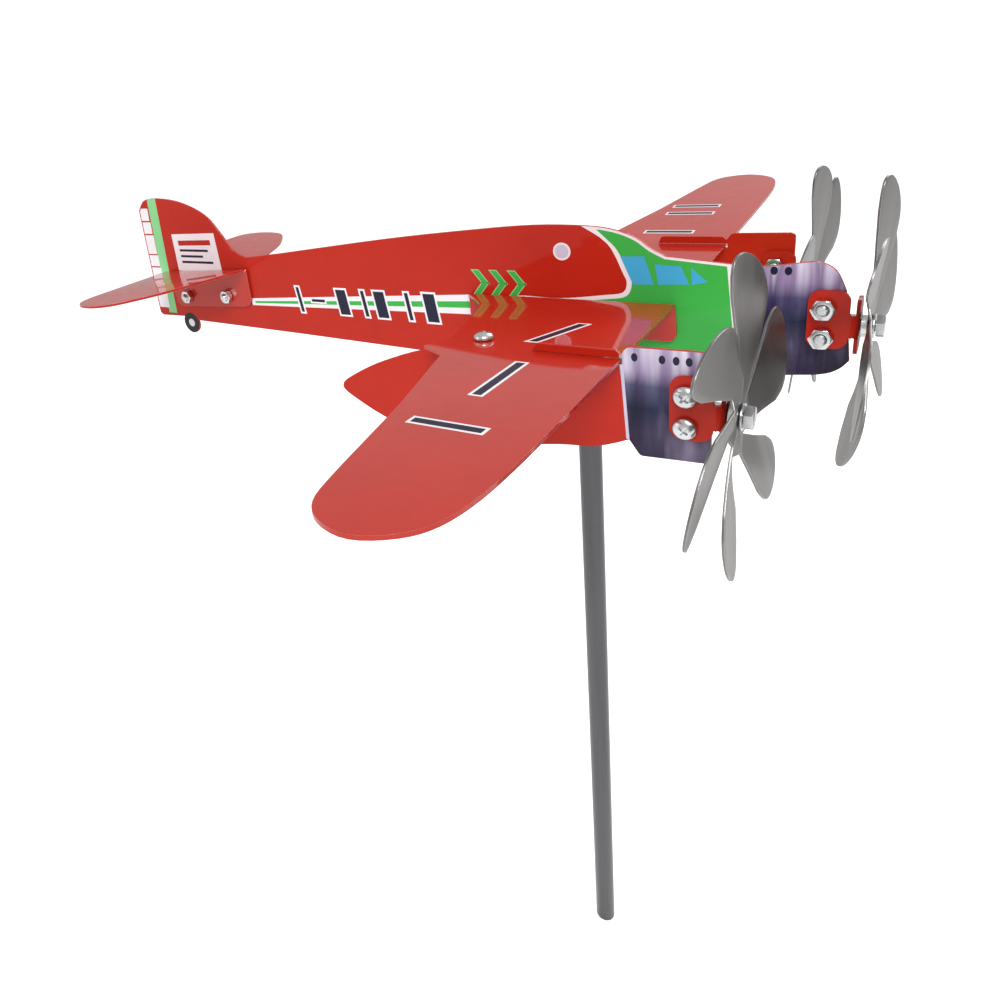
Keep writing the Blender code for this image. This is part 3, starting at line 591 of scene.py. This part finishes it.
WING_MARKS = {
    "wing_right": ([(2.2, -50.6), (4.8, -50.6), (11.8, -30.4), (9.2, -30.4)],
                   [(7.2, -94.0), (9.6, -94.0), (9.6, -69.0), (7.2, -69.0)],
                   [(2.4, -114.1), (19.9, -114.1), (19.9, -111.7), (2.4, -111.7)]),
    "wing_left": ([(-1.9, 71.4), (15.2, 71.4), (15.2, 73.8), (-1.9, 73.8)],
                  [(-0.5, 96.8), (16.7, 96.8), (16.7, 99.2), (-0.5, 99.2)],
                  [(-0.5, 107.6), (16.7, 107.6), (16.7, 110.0), (-0.5, 110.0)]),
}
for node, marks in WING_MARKS.items():
    for number, outline in enumerate(marks):
        on_top(f"{node}_mark_{number + 1}_rim", node, grown(outline, BORDER), 0, "white")
        on_top(f"{node}_mark_{number + 1}", node, outline, 1, "navy")

# ---- rotors ----

BLADES = 6
BLADE_ROOT = 9.5
BLADE_TIP = 36.5
ROTOR_BORE = 1.8
ROTOR_SHEET = 0.6
BLADE_HALF_WIDTHS = ((0.0, 3.6), (0.3, 6.7), (0.6, 10.4), (0.85, 11.4), (1.0, 11.4))
BLADE_ROUND_FROM = 0.70  # share of the blade after which its tip rounds off
BLADE_BENT_BY = 0.35  # share of the blade over which the pitch comes in
BLADE_ROOT_PITCH = -0.137
BLADE_SWEEP = 15.4
BLADE_COLUMNS = 8
BLADE_ROWS = [0.04 * step for step in range(17)] + [0.71, 0.76, 0.81, 0.86, 0.90, 0.935, 0.96,
                                                    0.98, 0.992]
HUB_RINGS = (0.70, 0.40, 0.0)  # shares of the way from the bore out to the blades
ROTOR_EDGE = 0.12
ROTOR_EDGE_ANGLE = 40
ROTOR_REST = {"right": 0.356, "centre": 0.399, "left": 0.771}
# How every blade is bent out of the sheet: turn in its plane, forward lean and pitch, in radians.
# The bends are rounded results of a fit of the blades to the photo, as are the rest angles.
BLADE_BENDS = {
    "right": ((-0.02, 0.23, -0.11), (-0.03, 0.22, -0.17), (0.20, 0.12, -0.19),
              (0.06, 0.02, -0.14), (-0.01, 0.0, -0.13), (-0.15, 0.08, 0.01)),
    "centre": ((0.04, 0.17, -0.13), (-0.01, 0.15, -0.09), (0.07, 0.15, -0.16),
               (0.0, 0.12, -0.09), (0.0, 0.11, -0.09), (-0.17, 0.10, -0.29)),
    "left": ((0.0, 0.10, -0.14), (-0.02, 0.17, -0.09), (-0.04, 0.14, -0.14),
             (0.0, 0.10, -0.14), (0.18, 0.03, -0.12), (-0.09, 0.14, -0.04)),
}


def half_width(t):
    width = BLADE_HALF_WIDTHS[-1][1]
    for (t0, w0), (t1, w1) in zip(BLADE_HALF_WIDTHS, BLADE_HALF_WIDTHS[1:]):
        if t0 <= t <= t1:
            width = w0 + (w1 - w0) * (t - t0) / (t1 - t0)
            break
    past = max(t - BLADE_ROUND_FROM, 0) / (1 - BLADE_ROUND_FROM)
    return width * math.sqrt(max(1 - past ** 2.5, 0))


def blade_point(blade, bend, t, share):
    """A point of the sheet: t runs from root to tip and share from -1 to 1 across the blade."""
    shift, lean, full_pitch = bend
    angle = math.tau * blade / BLADES + shift
    outward = Vector((math.cos(angle), math.sin(angle), 0))
    along = Vector((-math.sin(angle), math.cos(angle), 0))
    pitch = BLADE_ROOT_PITCH
    pitch += (full_pitch - BLADE_ROOT_PITCH) * min(1, t / BLADE_BENT_BY)
    chord = along * math.cos(pitch) + Vector((0, 0, math.sin(pitch)))
    reach = (BLADE_TIP - BLADE_ROOT) * t
    point = outward * (BLADE_ROOT + reach) + chord * (half_width(t) * share + BLADE_SWEEP * t)
    point.z += lean * reach
    return point * MM


def rotor_mesh(bends):
    """The stamped sheet of one rotor: a hub disc with six twisted blades."""
    edit = bmesh.new()
    rim = []
    for blade, bend in enumerate(bends):
        grid = [[edit.verts.new(blade_point(blade, bend, t, 2 * column / BLADE_COLUMNS - 1))
                 for column in range(BLADE_COLUMNS + 1)] for t in BLADE_ROWS]
        tip = edit.verts.new(blade_point(blade, bend, 1.0, 0.0))
        for lower, upper in zip(grid, grid[1:]):
            for column in range(BLADE_COLUMNS):
                edit.faces.new((lower[column], lower[column + 1], upper[column + 1],
                                upper[column]))
        for column in range(BLADE_COLUMNS):
            edit.faces.new((grid[-1][column], grid[-1][column + 1], tip))
        rim += grid[0]
    outer = rim
    for share in HUB_RINGS:
        inner = []
        for vertex in rim:
            angle = math.atan2(vertex.co.y, vertex.co.x)
            bore = Vector((math.cos(angle), math.sin(angle), 0)) * ROTOR_BORE * MM
            inner.append(edit.verts.new(bore.lerp(vertex.co, share)))
        for index in range(len(rim)):
            following = (index + 1) % len(rim)
            edit.faces.new((inner[index], inner[following], outer[following], outer[index]))
        outer = inner
    return to_mesh(edit, "rotor")


for hand in HANDS:
    mesh = rotor_mesh(BLADE_BENDS[hand])
    spin = JOINTS[f"rotor_{hand}_spin"]["pos_m"]
    mesh.transform(Matrix.Translation(spin) @ Matrix.Rotation(math.radians(90), 4, "Y")
                   @ Matrix.Rotation(ROTOR_REST[hand], 4, "Z"))
    piece = show(f"stamped_rotor_{hand}", mesh, ("rotor", "rotor_edge"), f"rotor_{hand}_body",
                 (f"rotor_{hand}",), smooth=ROTOR_EDGE_ANGLE)
    solid = piece.modifiers.new("sheet", "SOLIDIFY")
    solid.thickness = ROTOR_SHEET * MM
    solid.offset = 0
    solid.use_even_offset = True
    break_edges(piece, ROTOR_EDGE, ROTOR_EDGE_ANGLE, 1)

# ---- fasteners, M3, in millimetres with z = 0 where the head or the nut sits ----

SHANK_RADIUS = 1.5
THREAD_DEPTH = 0.16
THREAD_PITCH = 0.5
END_CHAMFER = 0.4
FLATS = 5.5
CORNER = FLATS / math.sqrt(3)
HEAD = 2.0
PAN_RADIUS = 2.9
CROSS_LENGTH, CROSS_WIDTH, CROSS_DEPTH, CROSS_TAPER = 3.3, 0.85, 1.15, 0.62
NUT_BORE = 1.62
WASHER_BORE = 1.8
WASHER_EDGE = 0.1
TURNED_ANGLE = 32  # degrees above which an edge of a turned piece is a sharp one


def lathe(profile, steps=40, closed=False):
    """A turned solid from (radius, z) points in millimetres. Closed profiles give a ring."""
    edit = bmesh.new()
    rings = []
    for radius, z in profile:
        if radius < 1e-9:
            rings.append([edit.verts.new((0, 0, z))] * steps)
        else:
            rings.append([edit.verts.new((radius * math.cos(math.tau * i / steps),
                                          radius * math.sin(math.tau * i / steps), z))
                          for i in range(steps)])
    pairs = list(zip(rings, rings[1:]))
    if closed:
        pairs.append((rings[-1], rings[0]))
    for first, second in pairs:
        for index in range(steps):
            following = (index + 1) % steps
            corners = []
            for vertex in (first[index], first[following], second[following], second[index]):
                if vertex not in corners:
                    corners.append(vertex)
            if len(corners) > 2:
                edit.faces.new(corners)
    return to_mesh(edit, "turned")


def thread(length):
    """The profile of a threaded shank below z = 0, down to a chamfered end."""
    profile = [(SHANK_RADIUS, 0.0)]
    z = 0.15
    while z + THREAD_PITCH < length - END_CHAMFER:
        profile += [(SHANK_RADIUS, -z), (SHANK_RADIUS - THREAD_DEPTH, -z - 0.45 * THREAD_PITCH),
                    (SHANK_RADIUS, -z - 0.9 * THREAD_PITCH)]
        z += THREAD_PITCH
    return profile + [(SHANK_RADIUS, -length + END_CHAMFER),
                      (SHANK_RADIUS - END_CHAMFER, -length), (0, -length)]


def tapered_box(width, depth, low, high, taper):
    """A box about the axis, narrower at its lower end."""
    edit = bmesh.new()
    rings = [[edit.verts.new((x * width / 2 * share, y * depth / 2 * share, z))
              for x, y in ((-1, -1), (1, -1), (1, 1), (-1, 1))]
             for z, share in ((low, taper), (high, 1.0))]
    close_rings(edit, *rings)
    return to_mesh(edit, "block")


def hexagonal(low, high):
    """A hexagonal bar as wide as a spanner's opening."""
    edit = bmesh.new()
    rings = [[edit.verts.new((CORNER * math.cos(math.tau * i / 6),
                              CORNER * math.sin(math.tau * i / 6), z)) for i in range(6)]
             for z in (low, high)]
    close_rings(edit, *rings)
    return to_mesh(edit, "hexagon")


def pan_screw(length):
    """A screw with a domed head and a cross recess."""
    angles = [math.radians(degrees) for degrees in range(0, 91, 9)]
    crown = [(PAN_RADIUS * math.sin(angle), HEAD * (0.3 + 0.7 * math.cos(angle)))
             for angle in angles]
    body = lathe(crown + [(PAN_RADIUS, 0.15), (PAN_RADIUS - 0.15, 0)] + thread(length))
    floor_z, open_z = HEAD - CROSS_DEPTH, HEAD + 1
    crossed = combine(tapered_box(CROSS_WIDTH, CROSS_LENGTH, floor_z, open_z, CROSS_TAPER),
                      tapered_box(CROSS_LENGTH, CROSS_WIDTH, floor_z, open_z, CROSS_TAPER),
                      "UNION")
    return combine(body, crossed, "DIFFERENCE")


def hex_bolt(length):
    """A bolt whose hexagonal head is chamfered on its outer side."""
    blank = lathe([(0, HEAD), (FLATS / 2 - 0.05, HEAD), (CORNER + 0.02, HEAD - 0.28),
                   (CORNER + 0.02, 0), (0, 0)], 48)
    head = combine(blank, hexagonal(-1, HEAD + 1), "INTERSECT")
    shank = lathe([(0, HEAD / 2), (SHANK_RADIUS, HEAD / 2)] + thread(length))
    return combine(head, shank, "UNION")


def hex_nut(height):
    """A nut that is chamfered on both sides and at both ends of its bore."""
    blank = lathe([(FLATS / 2 - 0.05, 0), (CORNER + 0.02, 0.3), (CORNER + 0.02, height - 0.3),
                   (FLATS / 2 - 0.05, height), (NUT_BORE + 0.2, height),
                   (NUT_BORE, height - 0.2), (NUT_BORE, 0.2), (NUT_BORE + 0.2, 0)],
                  48, closed=True)
    return combine(blank, hexagonal(-1, height + 1), "INTERSECT")


def washer(height, radius):
    """A flat ring, or a spacer when it is high."""
    bore, edge = WASHER_BORE, WASHER_EDGE
    return lathe([(bore, edge), (bore + edge, 0), (radius - edge, 0), (radius, edge),
                  (radius, height - edge), (radius - edge, height), (bore + edge, height),
                  (bore, height - edge)], 56, closed=True)


def seat_of(node):
    """The place of a CAD fastener's lower end with Z towards its head, its length and radius."""
    mesh = NODES[node].data
    areas = []
    for polygon in mesh.polygons:
        for entry in areas:
            if abs(entry[0].dot(polygon.normal)) > SAME_WAY:
                entry[1] += polygon.area
                break
        else:
            areas.append([polygon.normal.copy(), polygon.area])
    axis = max(areas, key=lambda entry: entry[1])[0].normalized()
    side = axis.orthogonal().normalized()
    third = axis.cross(side)
    points = [vertex.co.copy() for vertex in mesh.vertices]
    spans = []
    for direction in (side, third, axis):
        places = [point.dot(direction) for point in points]
        spans.append((min(places), max(places)))
    centre = side * sum(spans[0]) / 2 + third * sum(spans[1]) / 2 + axis * sum(spans[2]) / 2

    def away(point):
        return (point - centre) - axis * (point - centre).dot(axis)

    wide = max(away(point).length for point in points)
    balance = sum((point - centre).dot(axis) for point in points if away(point).length > 0.8 * wide)
    if balance < -1e-6:
        axis = -axis
    corner = away(max(points, key=lambda point: round(away(point).length, 7))).normalized()
    length = spans[2][1] - spans[2][0]
    turn = Matrix((corner, axis.cross(corner), axis)).transposed().to_4x4()
    return Matrix.Translation(centre - axis * length / 2) @ turn, length / MM, wide / MM


def fit(node, mesh, lift=0):
    """Puts a detailed fastener in place of the CAD's. Lift is its z = 0 above the lower end."""
    matrix = seat_of(node)[0]
    mesh.transform(matrix @ Matrix.Translation((0, 0, lift * MM)) @ Matrix.Scale(MM, 4))
    show(f"fine_{node}", mesh, ("zinc",), "airframe", (node,), smooth=TURNED_ANGLE)


SCREWS = ("bracket_screw", "wing_screw", "root_bolt", "tail_bolt", "swivel_bolt")
NUTS = ("bracket_nut", "wing_nut", "root_nut", "tail_nut", "swivel_nut", "axle_nut")
for node in sorted(NODES):
    kind = "_".join(node.split("_")[:2])
    if kind in SCREWS:
        shank = seat_of(node)[1] - HEAD
        fit(node, pan_screw(shank), shank)
    elif kind == "axle_bolt":
        shank = seat_of(node)[1] - HEAD
        fit(node, hex_bolt(shank), shank)
    elif kind in NUTS:
        fit(node, hex_nut(seat_of(node)[1]))
    elif kind == "axle_washer" or node.startswith("spacer_"):
        _, height, radius = seat_of(node)
        fit(node, washer(height, radius))

# ---- pole ----

SOCKET_RADIUS = 3.2  # of the hole in the pole's top that takes the pivot pin
SOCKET_DEPTH = 20
pole_low, pole_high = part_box("pole_rod")
pole_radius = (pole_high[0] - pole_low[0]) / 2 / MM
pole_length = (pole_high[2] - pole_low[2]) / MM
socket_floor = pole_length - SOCKET_DEPTH
pole_mesh = lathe([(0, socket_floor), (SOCKET_RADIUS, socket_floor),
                   (SOCKET_RADIUS, pole_length - 0.3), (SOCKET_RADIUS + 0.3, pole_length),
                   (pole_radius - 0.25, pole_length), (pole_radius, pole_length - 0.25),
                   (pole_radius, 0.4), (pole_radius - 0.4, 0), (0, 0)], 72)
pole_mesh.transform(Matrix.Translation(((pole_low[0] + pole_high[0]) / 2,
                                        (pole_low[1] + pole_high[1]) / 2, pole_low[2]))
                    @ Matrix.Scale(MM, 4))
show("painted_pole", pole_mesh, ("pole",), "pole", ("pole_rod",),
     smooth=TURNED_ANGLE)

# ---- camera, stage and light ----

# The camera's place, turn and lens come from a fit of the object's outlines to the photo.
CAMERA_AT = (92.18, -243.62, 82.94)  # millimetres from the pole's axis and the wing roots
YAW, PITCH, ROLL = 0.6865, 0.3742, 0.1548
SENSOR = 36
FOCAL_LENGTH = 28.1014
SHIFT_X, SHIFT_Y = 0.155274, -0.123849  # shares of the picture's width

ahead = Vector((-math.sin(YAW) * math.cos(PITCH), math.cos(YAW) * math.cos(PITCH),
                -math.sin(PITCH)))
level_right = Vector((math.cos(YAW), math.sin(YAW), 0))
down = ahead.cross(level_right)
right = level_right * math.cos(ROLL) + down * math.sin(ROLL)
lower = -level_right * math.sin(ROLL) + down * math.cos(ROLL)
lens = bpy.data.cameras.new("photo_camera")
lens.sensor_width = SENSOR
lens.lens = FOCAL_LENGTH
lens.shift_x = SHIFT_X
lens.shift_y = SHIFT_Y
lens.clip_start = 0.01
camera = bpy.data.objects.new("photo_camera", lens)
bpy.context.scene.collection.objects.link(camera)
turn = Matrix((right, -lower, -ahead)).transposed().to_4x4()
camera.matrix_world = Matrix.Translation(Vector(CAMERA_AT) * MM + Vector((0, 0, ROOT_Z))) @ turn
bpy.context.scene.camera = camera


def camera_glow(tree, as_light, to_camera, target):
    """A strength that differs between what the camera sees and what lights the object."""
    ray = tree.nodes.new("ShaderNodeLightPath")
    level = tree.nodes.new("ShaderNodeMapRange")
    level.inputs["To Min"].default_value = as_light
    level.inputs["To Max"].default_value = to_camera
    tree.links.new(ray.outputs["Is Camera Ray"], level.inputs["Value"])
    tree.links.new(level.outputs["Result"], target)


FLOOR_HALF_SIZE = 60.0  # metres
FLOOR_GAP = 0.5  # millimetres below the pole's foot
floor_edit = bmesh.new()
bmesh.ops.create_grid(floor_edit, x_segments=1, y_segments=1, size=FLOOR_HALF_SIZE)
floor_mesh = to_mesh(floor_edit, "floor")
floor_shader = Shader("pale_floor")
floor_shader.link(floor_shader.ramp(floor_shader.noise(4), ((0.3, (0.90, 0.90, 0.90)),
                                                            (0.7, (0.92, 0.92, 0.92)))),
                  floor_shader.surface.inputs["Base Color"])
floor_shader.put("Roughness", 0.9)
floor_shader.put("Specular IOR Level", 0.0)
floor_shader.put("Emission Color", (1, 1, 1, 1))
camera_glow(floor_shader.tree, 0.08, 0.55, floor_shader.surface.inputs["Emission Strength"])
floor_mesh.materials.append(floor_shader.material)
floor = bpy.data.objects.new("floor", floor_mesh)
bpy.context.scene.collection.objects.link(floor)
floor.location = (0, 0, CAD_BOX[0][2] - FLOOR_GAP * MM)

world = bpy.data.worlds.new("studio")
world.use_nodes = True
backdrop = world.node_tree.nodes["Background"]
backdrop.inputs["Color"].default_value = (1, 1, 1, 1)
camera_glow(world.node_tree, 0.55, 1.0, backdrop.inputs["Strength"])
bpy.context.scene.world = world
bpy.context.scene.view_settings.view_transform = "Standard"


def area_light(name, at, size, power):
    """A square lamp that points at the wing roots."""
    lamp = bpy.data.lights.new(name, "AREA")
    lamp.size = size
    lamp.energy = power
    item = bpy.data.objects.new(name, lamp)
    bpy.context.scene.collection.objects.link(item)
    item.location = at
    ray = Vector((0, 0, ROOT_Z)) - Vector(at)
    item.rotation_euler = ray.to_track_quat("-Z", "Y").to_euler()


area_light("key_light", (0.5, -0.9, 1.3), 0.7, 15)
area_light("fill_light", (-1.1, -0.9, 0.7), 0.9, 2.5)
area_light("back_light", (0.3, 1.2, 1.1), 0.8, 7)
